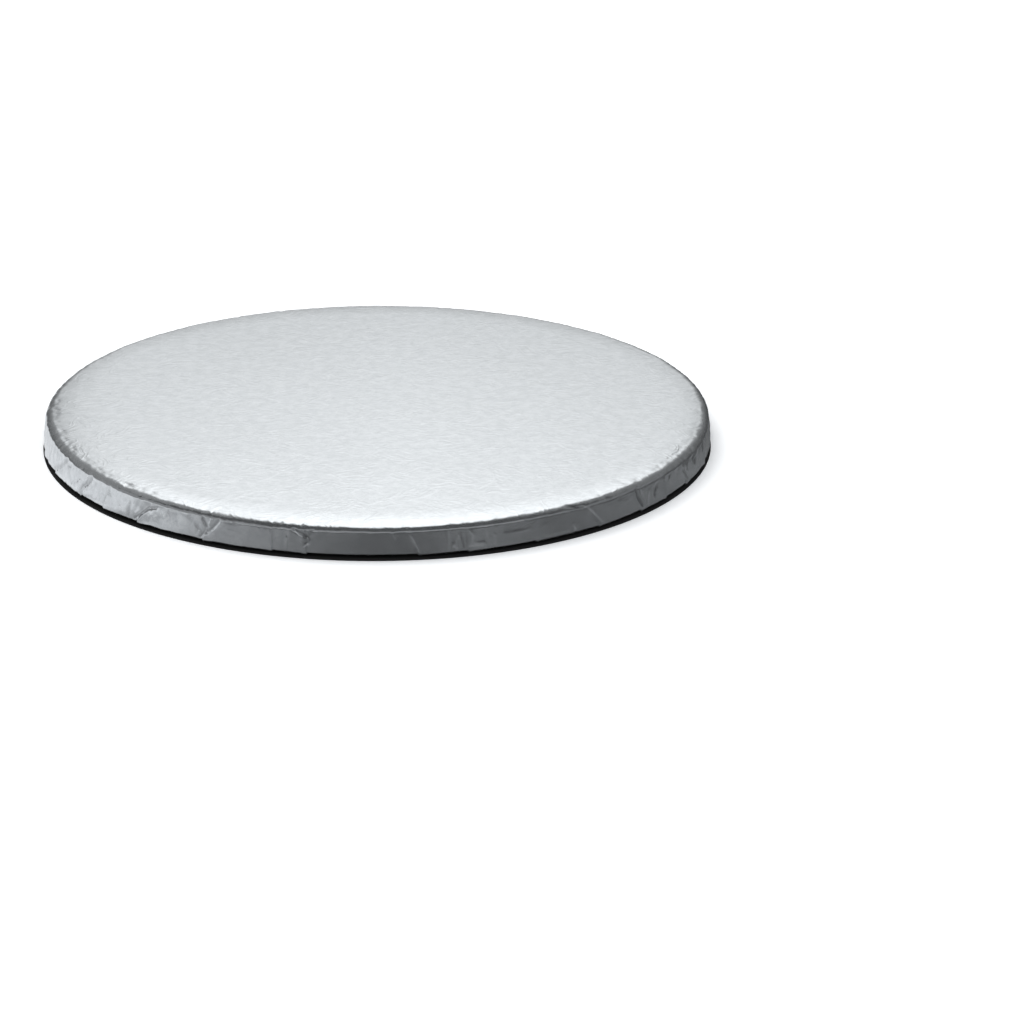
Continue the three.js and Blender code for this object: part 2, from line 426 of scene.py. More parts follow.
class CreasePlan:
    """The sharp bends in the foil besides the pleats: those that show at the front, and small ones."""

    GROOVE, RIDGE = Bend.GROOVE, Bend.RIDGE
    # Bend, height and width of each crease of the front half, and its path
    FRONT = (
        (GROOVE, 0.26, 1.1, ((-66.4, 5.2), (-67.6, 7.6), (-69.6, 10.0), (-72.0, 12.6))),
        (RIDGE, 0.16, 0.9, ((-63.0, 6.0), (-63.6, 9.5), (-62.6, 12.0))),
        (GROOVE, 0.34, 1.1, ((-56.4, 5.4), (-57.4, 7.8), (-58.7, 9.6), (-59.2, 12.6))),
        (RIDGE, 0.25, 0.8, ((-60.6, 10.0), (-60.0, 12.2))),
        (GROOVE, 0.16, 0.8, ((-50.3, 4.8), (-51.2, 8.8), (-51.9, 11.6))),
        (GROOVE, 0.14, 0.6, ((-54.6, 6.4), (-55.0, 7.8))),
        (RIDGE, 0.20, 0.9, ((-47.8, 9.6), (-47.0, 11.2))),
        (GROOVE, 0.20, 0.8, ((-44.6, 7.6), (-44.6, 9.6), (-45.0, 12.4))),
        (GROOVE, 0.42, 0.6, ((-38.4, 5.9), (-40.2, 6.9), (-41.2, 8.6), (-42.4, 10.8), (-43.6, 12.6))),
        (RIDGE, 0.10, 1.0, ((-36.0, 6.0), (-36.6, 9.6), (-35.4, 12.0))),
        (GROOVE, 0.36, 0.6, ((-28.8, 5.2), (-27.9, 8.6), (-28.2, 10.2), (-29.4, 12.8))),
        (GROOVE, 0.30, 0.6, ((-25.7, 5.2), (-26.9, 8.4), (-27.9, 10.4))),
        (GROOVE, 0.22, 0.6, ((-30.2, 8.4), (-29.2, 10.6))),
        (RIDGE, 0.20, 0.7, ((-24.9, 5.4), (-26.0, 8.6), (-26.8, 11.0))),
        (RIDGE, 0.14, 0.8, ((-16.3, 5.4), (-16.3, 12.4))),
        (RIDGE, 0.14, 0.8, ((-13.3, 5.4), (-13.4, 12.4))),
        (GROOVE, 0.34, 0.7, ((-12.6, 4.6), (-10.6, 6.8), (-9.8, 8.2), (-10.6, 10.0))),
        (GROOVE, 0.28, 0.6, ((-9.4, 4.6), (-10.0, 7.0))),
        (RIDGE, 0.26, 0.8, ((-11.3, 7.4), (-11.4, 9.6))),
        (RIDGE, 0.22, 0.7, ((3.8, 5.6), (4.2, 7.6))),
        (RIDGE, 0.42, 0.7, ((6.8, 6.6), (7.4, 9.4), (8.0, 12.4))),
        (RIDGE, 0.22, 0.7, ((12.9, 5.2), (13.0, 12.6))),
        (GROOVE, 0.24, 0.6, ((14.9, 6.2), (15.2, 9.2), (15.6, 12.2))),
        (RIDGE, 0.26, 0.7, ((16.0, 5.2), (16.9, 7.4), (16.9, 10.2))),
        (RIDGE, 0.34, 0.9, ((13.8, 10.8), (14.4, 12.8))),
        (RIDGE, 0.46, 1.0, ((16.6, 11.6), (18.9, 11.8))),
        (RIDGE, 0.22, 0.7, ((19.2, 5.6), (19.6, 9.4))),
        (RIDGE, 0.20, 0.7, ((20.9, 8.6), (21.0, 12.6))),
        (RIDGE, 0.22, 0.6, ((18.4, 4.5), (20.4, 4.4))),
        (RIDGE, 0.24, 0.6, ((21.8, 4.6), (25.9, 4.5))),
        (GROOVE, 0.20, 0.7, ((22.5, 7.6), (25.8, 7.8))),
        (RIDGE, 0.20, 0.8, ((24.4, 8.9), (27.2, 8.7))),
        (RIDGE, 0.20, 0.9, ((30.0, 12.2), (34.6, 12.2))),
        (RIDGE, 0.40, 0.9, ((35.5, 10.4), (35.8, 12.4))),
        (GROOVE, 0.30, 0.8, ((34.9, 2.8), (36.2, 3.9), (37.6, 4.4))),
        (RIDGE, 0.36, 0.7, ((38.4, 5.0), (39.4, 7.2), (40.4, 9.6), (41.6, 12.2))),
        (GROOVE, 0.16, 0.7, ((45.2, 5.6), (47.6, 6.4))),
        (GROOVE, 0.40, 0.7, ((49.8, 5.0), (50.3, 8.0), (51.4, 11.4))),
        (RIDGE, 0.34, 0.7, ((50.9, 5.2), (51.3, 7.0))),
        (RIDGE, 0.40, 0.8, ((53.4, 7.8), (53.0, 12.2))),
        (GROOVE, 0.28, 0.8, ((56.2, 6.0), (55.2, 8.2), (55.0, 9.6))),
        (RIDGE, 0.26, 0.8, ((55.4, 5.5), (57.6, 5.7))),
        (GROOVE, 0.26, 0.8, ((65.6, 8.0), (67.0, 12.0))),
        (RIDGE, 0.22, 0.7, ((62.6, 12.4), (65.4, 12.8))),
        (GROOVE, 0.22, 0.9, ((70.0, 6.2), (70.6, 8.2))),
    )
    SEED = 17
    WRINKLES_PER_PLEAT = 4
    WRINKLE_REACH = 6.0
    WRINKLE_SLANT = 0.6
    RIM_WRINKLE_START = (0.6, 2.6)
    WALL_WRINKLE_START = (5.5, 9.0)
    RIM_WRINKLE_LENGTH = (1.6, 4.4)
    WALL_WRINKLE_LENGTH = (2.0, 5.5)
    WRINKLE_HEIGHT = (0.06, 0.16)
    WRINKLE_WIDTH = (0.6, 0.9)
    FRINGE = ((-96.0, -50.0, 60), (-50.0, -28.0, 55), (-28.0, 40.0, 24), (40.0, 96.0, 60))
    FRINGE_START = (-0.7, 1.2)
    FRINGE_DRIFT = 0.9
    FRINGE_LENGTH = (0.8, 3.0)
    FRINGE_HEIGHT = (0.015, 0.06)
    FRINGE_WIDTH = (0.6, 1.3)
    # Groove height at which the painted shade is full, and the shade's width as a share of the groove's
    FULLY_SHADED = 0.45
    SHADE_WIDTH = 0.8
    FULLY_SCUFFED = 0.35
    SCUFF_WIDTH = 0.5
    REACH_WIDTHS = 6.0
    LEAST_REACH = 2.0

    def __init__(self, plan: PleatPlan) -> None:
        """Keeps the plan of the pleats, and scatters the small wrinkles."""
        self.plan = plan
        self.wrinkles = [*self.small(), *self.fringe()]

    def small(self) -> list[Crease]:
        """Scatters the short wrinkles over the rim and the wall near each pleat.

        Returns:
            The wrinkles, the same ones every time.
        """
        dice = random.Random(self.SEED)
        wrinkles = []
        per_mm = 1 / self.plan.arc(1)
        for pleat in self.plan.all():
            for index in range(self.WRINKLES_PER_PLEAT):
                on_rim = index < self.WRINKLES_PER_PLEAT / 2
                lengths = self.RIM_WRINKLE_LENGTH if on_rim else self.WALL_WRINKLE_LENGTH
                length = dice.uniform(*lengths)
                start = dice.uniform(*(self.RIM_WRINKLE_START if on_rim else self.WALL_WRINKLE_START))
                at = pleat.at + dice.uniform(-self.WRINKLE_REACH, self.WRINKLE_REACH) * per_mm
                slant = dice.uniform(-self.WRINKLE_SLANT, self.WRINKLE_SLANT) * length * per_mm
                path = ((at, start), (at + slant, start + length))
                bend = Bend.RIDGE if dice.random() < 0.5 else Bend.GROOVE
                height, width = dice.uniform(*self.WRINKLE_HEIGHT), dice.uniform(*self.WRINKLE_WIDTH)
                wrinkles.append(Crease(path, height, width, bend))
        return wrinkles

    def fringe(self) -> list[Crease]:
        """Scatters short wrinkles along the inner border of the rim, most of them at the left.

        Returns:
            The wrinkles, the same ones every time.
        """
        dice = random.Random(self.SEED + 1)
        wrinkles = []
        for low, high, count in self.FRINGE:
            for _ in range(count):
                at, start = dice.uniform(low, high), dice.uniform(*self.FRINGE_START)
                length = dice.uniform(*self.FRINGE_LENGTH)
                end = start + dice.uniform(-self.FRINGE_DRIFT, self.FRINGE_DRIFT)
                path = ((at, start), (at + length / self.plan.arc(1), end))
                height, width = dice.uniform(*self.FRINGE_HEIGHT), dice.uniform(*self.FRINGE_WIDTH)
                wrinkles.append(Crease(path, height, width, Bend.GROOVE))
        return wrinkles

    def depth(self, around: np.ndarray, along: np.ndarray) -> tuple[np.ndarray, np.ndarray, np.ndarray]:
        """Adds up how far all the creases press in, at points of the unrolled wall.

        Args:
            around: millimetres round the outside from the front.
            along: millimetres down the foil from the start of the rim.

        Returns:
            How far in each point goes, less than 0 where a crease stands proud, the painted shade that its
            grooves give it, and how scuffed it is.
        """
        total = np.zeros_like(around)
        crease_shade = np.zeros_like(around)
        scuff = np.zeros_like(around)
        for bend, height, width, path in self.FRONT:
            self.press(Crease(path, height, width, bend), around, along, total, crease_shade, scuff)
        unmarked = np.zeros_like(around)
        for crease in self.wrinkles:
            self.press(crease, around, along, total, unmarked, scuff)
        return total, np.clip(crease_shade, 0, 1), np.clip(scuff, 0, 1)

    def press(
        self,
        crease: Crease,
        around: np.ndarray,
        along: np.ndarray,
        total: np.ndarray,
        crease_shade: np.ndarray,
        scuff: np.ndarray,
    ) -> None:
        """Presses one crease into the unrolled wall.

        Args:
            crease: the crease.
            around: millimetres round the outside from the front.
            along: millimetres down the foil from the start of the rim.
            total: the depth so far, which is changed in place.
            crease_shade: the painted shade in grooves so far, which is changed in place.
            scuff: the scuffs on ridges so far, which are changed in place.
        """
        points = [(self.plan.arc(at), down) for at, down in crease.path]
        turn = self.plan.arc(360)
        reach = self.REACH_WIDTHS * crease.width + self.LEAST_REACH
        centre = points[0][0]
        across = (around - centre + turn / 2) % turn - turn / 2 + centre
        low = np.min(points, axis=0) - reach
        high = np.max(points, axis=0) + reach
        near = (across > low[0]) & (across < high[0]) & (along > low[1]) & (along < high[1])
        if not near.any():
            return
        u, s = across[near], along[near]
        nearest = np.full(u.shape, np.inf)
        for (u0, s0), (u1, s1) in zip(points, points[1:]):
            du, ds = u1 - u0, s1 - s0
            share = np.clip(((u - u0) * du + (s - s0) * ds) / (du**2 + ds**2), 0, 1)
            nearest = np.minimum(nearest, np.hypot(u - u0 - share * du, s - s0 - share * ds))
        profile = crease.height * np.exp(-((nearest / crease.width) ** 2))
        groove = crease.bend is Bend.GROOVE
        full = self.FULLY_SHADED if groove else self.FULLY_SCUFFED
        width = crease.width * (self.SHADE_WIDTH if groove else self.SCUFF_WIDTH)
        total[near] += profile if groove else -profile
        # Grooves add painted shade, which darkens the foil's colour; ridges add scuffs
        marks = crease_shade if groove else scuff
        marks[near] += min(1.0, crease.height / full) * np.exp(-((nearest / width) ** 2))


class NodeDesk:
    """Adds and links nodes in one node tree, of a material, a group or a geometry tree."""

    WORM_BANDS = 7.0
    WORM_EDGE = (0.22, 0.44)
    GATE_SCALE = 0.8
    GATE_EDGE = (0.40, 0.50)

    def __init__(self, tree: bpy.types.NodeTree) -> None:
        """Keeps the tree."""
        self.tree = tree

    def add(self, kind: str, inputs: dict | None = None, **settings: object) -> bpy.types.Node:
        """Adds a node.

        Args:
            kind: the node's type name.
            inputs: names or numbers of inputs, with the socket or the value that each takes.
            settings: properties of the node.

        Returns:
            The new node.
        """
        node = self.tree.nodes.new(kind)
        for name, value in settings.items():
            setattr(node, name, value)
        self.feed(node, inputs or {})
        return node

    def feed(self, node: bpy.types.Node, inputs: dict) -> None:
        """Links inputs of a node to sockets, or sets their values.

        Args:
            node: the node.
            inputs: names or numbers of inputs, with the socket or the value that each takes.
        """
        for key, value in inputs.items():
            if isinstance(value, Socket):
                self.tree.links.new(value, node.inputs[key])
            else:
                node.inputs[key].default_value = value

    def maths(self, operation: str, *values: object) -> Socket:
        """Adds a Math node with sockets or numbers for its inputs, and gives its output."""
        return self.add("ShaderNodeMath", dict(enumerate(values)), operation=operation).outputs[0]

    def ramp(self, value: object, low: float, high: float, start: object = 0.0, end: object = 1.0) -> Socket:
        """Adds a smooth Map Range node.

        Args:
            value: the socket to map.
            low: the value that gives start.
            high: the value that gives end.
            start: the output at low.
            end: the output at high.

        Returns:
            Its output.
        """
        inputs = dict(enumerate((value, low, high, start, end)))
        return self.add("ShaderNodeMapRange", inputs, interpolation_type="SMOOTHSTEP").outputs[0]

    def noise(self, vector: object, scale: object, detail: float, rough: float, warp: float) -> Socket:
        """Adds a Noise Texture node.

        Args:
            vector: its coordinates.
            scale: its scale.
            detail: how many octaves.
            rough: weight of the finer octaves.
            warp: distortion.

        Returns:
            Its value, around 0.5.
        """
        inputs = {"Vector": vector, "Scale": scale, "Detail": detail, "Roughness": rough, "Distortion": warp}
        return self.add("ShaderNodeTexNoise", inputs, noise_dimensions="3D").outputs[0]

    def worms(self, vector: object, scale: object) -> Socket:
        """Draws the common worm pattern of embossed foil: short curved strokes and small rings.

        Args:
            vector: coordinates on the flat sheet.
            scale: one over the size of the pattern.

        Returns:
            The relief, from 0 to 1.
        """
        flow = self.noise(vector, scale, 1.0, 0.35, 0.7)
        wave = self.maths("PINGPONG", self.maths("MULTIPLY", flow, self.WORM_BANDS), 0.5)
        stroke = self.ramp(wave, *self.WORM_EDGE)
        coarse = self.maths("MULTIPLY", scale, self.GATE_SCALE)
        gate = self.ramp(self.noise(vector, coarse, 0.0, 0.5, 0.0), *self.GATE_EDGE)
        return self.maths("MULTIPLY", stroke, gate)

    def length(self, x: object, y: object) -> Socket:
        """Gives the length of a flat vector from its two parts."""
        squares = self.maths("ADD", self.maths("MULTIPLY", x, x), self.maths("MULTIPLY", y, y))
        return self.maths("SQRT", squares)

    def blend(self, factor: object, first: object, second: object, **settings: object) -> Socket:
        """Adds a colour Mix node.

        Args:
            factor: the share of the second colour.
            first: the first colour.
            second: the second colour.
            settings: more properties of the node.

        Returns:
            The mixed colour.
        """
        inputs = {"Factor": factor, "A": first, "B": second}
        return self.add("ShaderNodeMix", inputs, data_type="RGBA", **settings).outputs["Result"]

    def times(self, first: object, second: object) -> Socket:
        """Multiplies two colours."""
        return self.blend(1.0, first, second, blend_type="MULTIPLY")

    def levels(self, factor: object, stops: Table, span: tuple[float, float]) -> Socket:
        """Adds a grey colour ramp.

        Args:
            factor: the ramp's position, from 0 to 1.
            stops: places and levels, with the places measured over the span.
            span: the place at position 0 and the place at position 1.

        Returns:
            The ramp's colour.
        """
        node = self.add("ShaderNodeValToRGB", {0: factor})
        low, high = span
        for index, (place, level) in enumerate(stops):
            position = (place - low) / (high - low)
            elements = node.color_ramp.elements
            stop = elements[index] if index < 2 else elements.new(position)
            stop.position = position
            stop.color = (level, level, level, 1)
        return node.outputs[0]

    def parts(self, output: str) -> list[Socket]:
        """Gives the three parts of a texture coordinate, by its name."""
        place = self.add("ShaderNodeTexCoord").outputs[output]
        return list(self.add("ShaderNodeSeparateXYZ", {0: place}).outputs)

    def attribute(self, name: str) -> Socket:
        """Reads a number that each point of the piece has."""
        return self.add("ShaderNodeAttribute", attribute_name=name).outputs["Fac"]

    def bump(self, height: object) -> Socket:
        """Bends the normals by a height in metres."""
        inputs = {"Strength": 1.0, "Distance": 1.0, "Height": height}
        return self.add("ShaderNodeBump", inputs).outputs["Normal"]

    def show(self, shader: bpy.types.Node, output: str = "ShaderNodeOutputMaterial") -> None:
        """Adds the output node, which shows a shader."""
        self.add(output, {"Surface": shader.outputs[0]})


def new_group(name: str, kind: str, inputs: dict, outputs: dict[str, str]) -> bpy.types.NodeTree:
    """Makes a node group with named sockets.

    Args:
        name: its name.
        kind: ShaderNodeTree or GeometryNodeTree.
        inputs: name to socket type and default value.
        outputs: name to socket type.

    Returns:
        The group, with its input and output nodes still to be added.
    """
    group = bpy.data.node_groups.new(name, kind)
    for label, (socket_type, value) in inputs.items():
        socket = group.interface.new_socket(label, in_out="INPUT", socket_type=socket_type)
        if value is not None:
            socket.default_value = value
    for label, socket_type in outputs.items():
        group.interface.new_socket(label, in_out="OUTPUT", socket_type=socket_type)
    return group


class PatternGroup:
    """A shader node group under construction, which reads coordinates and a pattern size in metres."""

    def __init__(self, name: str, size: float) -> None:
        """Starts the group.

        Args:
            name: its name.
            size: the pattern size where a material gives none.
        """
        inputs = {"Vector": ("NodeSocketVector", None), "Size": ("NodeSocketFloat", size)}
        self.group = new_group(name, "ShaderNodeTree", inputs, {})
        self.desk = NodeDesk(self.group)
        self.vector, self.size = list(self.desk.add("NodeGroupInput").outputs)[:2]
        self.scale = self.desk.maths("DIVIDE", 1.0, self.size)

    def ended(self, **outputs: Socket) -> bpy.types.NodeTree:
        """Ends the group.

        Args:
            outputs: a name for each output, and the socket that it gives out.

        Returns:
            The finished group.
        """
        for label in outputs:
            self.group.interface.new_socket(label, in_out="OUTPUT", socket_type="NodeSocketFloat")
        self.desk.add("NodeGroupOutput", outputs)
        return self.group


class SurfaceGroups:
    """The shader node groups that the finishes share, each built once."""

    BROAD_SCALE = 0.04

    def __init__(self) -> None:
        """Builds the groups."""
        self.emboss = self.make_emboss()
        self.crinkle = self.make_crinkle()
        self.grain = self.make_grain()

    @staticmethod
    def make_emboss() -> bpy.types.NodeTree:
        """Builds the group with the height of the foil's embossed worm pattern."""
        base = PatternGroup("embossed_worms", 0.012)
        return base.ended(Height=base.desk.worms(base.vector, base.scale))

    @staticmethod
    def make_crinkle() -> bpy.types.NodeTree:
        """Builds the fine crinkles of foil that was folded by hand.

        Returns:
            A group with the height of their facets.
        """
        base = PatternGroup("foil_crinkle", 0.006)
        desk, size = base.desk, base.size
        inputs = {"Vector": base.vector, "Scale": base.scale, "Detail": 2.0, "Roughness": 0.5}
        warp = desk.add("ShaderNodeTexNoise", inputs, noise_dimensions="3D").outputs["Color"]
        centred = desk.add("ShaderNodeVectorMath", {0: warp, 1: (0.5, 0.5, 0.5)}, operation="SUBTRACT")
        spread = desk.add("ShaderNodeCombineXYZ", {0: size, 1: size, 2: size})
        inputs = {0: centred.outputs[0], 1: spread.outputs[0], 2: base.vector}
        shifted = desk.add("ShaderNodeVectorMath", inputs, operation="MULTIPLY_ADD")
        inputs = {"Vector": shifted.outputs[0], "Scale": base.scale}
        cells = desk.add("ShaderNodeTexVoronoi", inputs, feature="F1", voronoi_dimensions="3D")
        return base.ended(Facets=cells.outputs["Distance"])

    @classmethod
    def make_grain(cls) -> bpy.types.NodeTree:
        """Builds the fine uneven grain that both the foil and the paper have.

        Returns:
            A group with a fine and a broad value, each around 0.5.
        """
        base = PatternGroup("fine_grain", 0.001)
        desk = base.desk
        broad = desk.maths("MULTIPLY", base.scale, cls.BROAD_SCALE)
        return base.ended(
            Fine=desk.noise(base.vector, base.scale, 3.0, 0.6, 0.0),
            Broad=desk.noise(base.vector, broad, 2.0, 0.5, 0.4),
        )


class Finish:
    """What every finish does: it makes a material with a shader desk and its Principled shader."""

    name = "finish"

    def blank(self) -> tuple[bpy.types.Material, NodeDesk, bpy.types.Node]:
        """Starts a material.

        Returns:
            The material, its node desk and its Principled shader.
        """
        material = bpy.data.materials.new(self.name)
        material.use_nodes = True
        shader = material.node_tree.nodes["Principled BSDF"]
        return material, NodeDesk(material.node_tree), shader

    @staticmethod
    def placed(desk: NodeDesk, group: bpy.types.NodeTree, vector: object, size: float) -> object:
        """Places a shared group in a material.

        Args:
            desk: the material's nodes.
            group: the shared group.
            vector: the coordinates that it reads.
            size: the size of its pattern in millimetres.

        Returns:
            The group's outputs.
        """
        return desk.add("ShaderNodeGroup", {"Vector": vector, "Size": size * MM}, node_tree=group).outputs


@dataclass(frozen=True)
class FoilFinish(Finish):
    """Satin silver foil with an embossed pattern, crinkles where it goes round the edge, and painted shade
    along the grooves of its creases.
    """

    groups: SurfaceGroups
    name: str = "silver_foil"
    dark: tuple[float, float, float] = (0.76, 0.782, 0.802)
    light: tuple[float, float, float] = (0.87, 0.89, 0.912)
    metallic: float = 0.93
    smooth: float = 0.15
    rough: float = 0.21
    emboss_size: float = 10.0
    emboss_depth: float = 0.024
    crinkle_size: float = 4.5
    crinkle_depth: float = 0.06
    grain_size: float = 1.6
    grain_depth: float = 0.024
    # How much the painted shade darkens the colour in the grooves of the creases
    painted_crease_shade: float = 0.42
    mottle_size: float = 4.5
    scuffed_metallic: float = 0.80
    grain_weight: float = 0.4
    mottle_weight: float = 0.6
    tone_span: tuple[float, float] = (0.32, 0.68)
    rough_span: tuple[float, float] = (0.3, 0.7)

    def material(self) -> bpy.types.Material:
        """Builds the material.

        Returns:
            The material, which reads the unrolled sheet and the attributes of its piece.
        """
        material, desk, shader = self.blank()
        sheet = desk.add("ShaderNodeUVMap", uv_map=SHEET_MAP).outputs["UV"]
        wall, crease_shade, scuff = (desk.attribute(name) for name in (WALL_SHARE, FOLD_SHADE, FOLD_SCUFF))
        emboss = self.placed(desk, self.groups.emboss, sheet, self.emboss_size)["Height"]
        crinkle = self.placed(desk, self.groups.crinkle, sheet, self.crinkle_size)["Facets"]
        grain = self.placed(desk, self.groups.grain, sheet, self.grain_size)
        mottle = self.placed(desk, self.groups.grain, sheet, self.mottle_size)["Fine"]
        mottle = desk.maths("MULTIPLY", mottle, self.mottle_weight)
        mixed = desk.maths("MULTIPLY_ADD", grain["Fine"], self.grain_weight, mottle)
        tone = desk.blend(desk.ramp(mixed, *self.tone_span), (*self.dark, 1), (*self.light, 1))
        # The colour is darkened along the grooves of the creases: painted shade
        shade = 1 - self.painted_crease_shade
        facets = desk.maths("MULTIPLY", crinkle, self.crinkle_depth * MM)
        facets = desk.maths("MULTIPLY", facets, wall)
        pattern = desk.maths("MULTIPLY", emboss, self.emboss_depth * MM)
        fine = desk.maths("MULTIPLY", grain["Fine"], self.grain_depth * MM)
        height = desk.maths("ADD", desk.maths("ADD", facets, pattern), fine)
        scuffed = self.scuffed_metallic - self.metallic
        desk.feed(shader, {
            "Base Color": desk.blend(crease_shade, tone, (shade, shade, shade, 1), blend_type="MULTIPLY"),
            "Roughness": desk.ramp(grain["Broad"], *self.rough_span, self.smooth, self.rough),
            "Metallic": desk.maths("MULTIPLY_ADD", scuff, scuffed, self.metallic),
            "Normal": desk.bump(height),
        })
        return material


@dataclass(frozen=True)
class PaperFinish(Finish):
    """Plain matt off-white paper with faint fibres."""

    groups: SurfaceGroups
    name: str = "base_paper"
    dark: tuple[float, float, float] = (0.66, 0.65, 0.62)
    light: tuple[float, float, float] = (0.74, 0.73, 0.70)
    roughness: float = 0.85
    grain_size: float = 0.7
    grain_depth: float = 0.03
    tone_span: tuple[float, float] = (0.12, 0.38)

    def material(self) -> bpy.types.Material:
        """Builds the material.

        Returns:
            The material, which reads the piece's own coordinates.
        """
        material, desk, shader = self.blank()
        place = desk.add("ShaderNodeTexCoord").outputs["Object"]
        grain = self.placed(desk, self.groups.grain, place, self.grain_size)
        mixed = desk.maths("MULTIPLY", grain["Fine"], grain["Broad"])
        desk.feed(shader, {
            "Base Color": desk.blend(desk.ramp(mixed, *self.tone_span), (*self.dark, 1), (*self.light, 1)),
            "Roughness": self.roughness,
            "Normal": desk.bump(desk.maths("MULTIPLY", grain["Fine"], self.grain_depth * MM)),
        })
        return material


def mesh_of(name: str, points: list, faces: list, unit: float = 1.0) -> bpy.types.Mesh:
    """Makes a mesh.

    Args:
        name: its name.
        points: its points.
        faces: its faces.
        unit: the unit of the points in metres.

    Returns:
        The mesh.
    """
    mesh = bpy.data.meshes.new(name)
    mesh.from_pydata([tuple(unit * value for value in point) for point in points], [], faces)
    return mesh


def linked(name: str, data: bpy.types.ID) -> bpy.types.Object:
    """Makes an object and puts it in the scene.

    Args:
        name: its name.
        data: its mesh, lamp or lens.

    Returns:
        The object.
    """
    item = bpy.data.objects.new(name, data)
    bpy.context.scene.collection.objects.link(item)
    return item


def circle(radius: float, height: float, count: int, forward: float = 0.0) -> list[tuple]:
    """Places points round a level circle, from the front towards +X.

    Args:
        radius: its radius.
        height: its height.
        count: how many points.
        forward: how far its centre lies in front of the board's.

    Returns:
        The points, in the unit of the lengths.
    """
    angles = np.arange(count) * 2 * math.pi / count
    return [(radius * math.sin(a), -forward - radius * math.cos(a), height) for a in angles]


def stitched(
    low: range, low_angles: np.ndarray, high: range, high_angles: np.ndarray
) -> list[tuple[int, int, int]]:
    """Joins two rings of points that may have different counts.

    Args:
        low: the inner ring's points.
        low_angles: their angles, rising from near the other ring's first one.
        high: the outer ring's points.
        high_angles: their angles.

    Returns:
        Triangles that face up where the outer ring lies outside the inner one.
    """
    faces = []
    i, j = 0, 0
    full = 2 * math.pi
    while i < len(low) or j < len(high):
        next_low = low_angles[i + 1] if i + 1 < len(low) else low_angles[0] + full
        next_high = high_angles[j + 1] if j + 1 < len(high) else high_angles[0] + full
        a, b = low[i % len(low)], high[j % len(high)]
        if j >= len(high) or (i < len(low) and next_low <= next_high):
            faces.append((a, b, low[(i + 1) % len(low)]))
            i += 1
        else:
            faces.append((a, b, high[(j + 1) % len(high)]))
            j += 1
    return faces


def plain_mesh(piece: bpy.types.Object) -> None:
    """Turns a piece's modifiers into its mesh, and takes the modifiers off.

    Args:
        piece: the piece, which gets a new mesh.
    """
    bpy.context.view_layer.update()
    graph = bpy.context.evaluated_depsgraph_get()
    mesh = bpy.data.meshes.new_from_object(piece.evaluated_get(graph), depsgraph=graph)
    piece.modifiers.clear()
    old = piece.data
    piece.data = mesh
    bpy.data.meshes.remove(old)
    mesh.name = piece.name


def triangles(piece: bpy.types.Object) -> int:
    """Counts the triangles of a piece."""
    return sum(len(polygon.vertices) - 2 for polygon in piece.data.polygons)


@dataclass
class Cover:
    """The wrap as it grows: its points, what each of them carries, and its faces.

    Each point has a place on the flat sheet and a share of the wall. The painted shade of the crease
    grooves and the scuffs are known for the points of the edge, which come first.
    """

    points: list = field(default_factory=list)
    sheet: list = field(default_factory=list)
    wall: list = field(default_factory=list)
    crease_shade: list = field(default_factory=list)
    scuff: list = field(default_factory=list)
    faces: list = field(default_factory=list)

    def ring(self, radius: np.ndarray, height: np.ndarray, flat: float, angle: np.ndarray) -> None:
        """Adds a ring of points.

        Args:
            radius: the distance of each from the board's axis.
            height: the height of each.
            flat: the distance of all from the middle of the flat sheet.
            angle: the angle of each, from the front towards +X.
        """
        self.points += zip(radius * np.sin(angle), -radius * np.cos(angle), height)
        self.sheet += zip(flat * np.sin(angle), -flat * np.cos(angle))

    def centre(self, height: float, wall: float) -> int:
        """Adds a point on the board's axis.

        Args:
            height: its height.
            wall: its share of the wall.

        Returns:
            The point's number.
        """
        self.points.append((0.0, 0.0, height))
        self.sheet.append((0.0, 0.0))
        self.wall.append(wall)
        return len(self.points) - 1


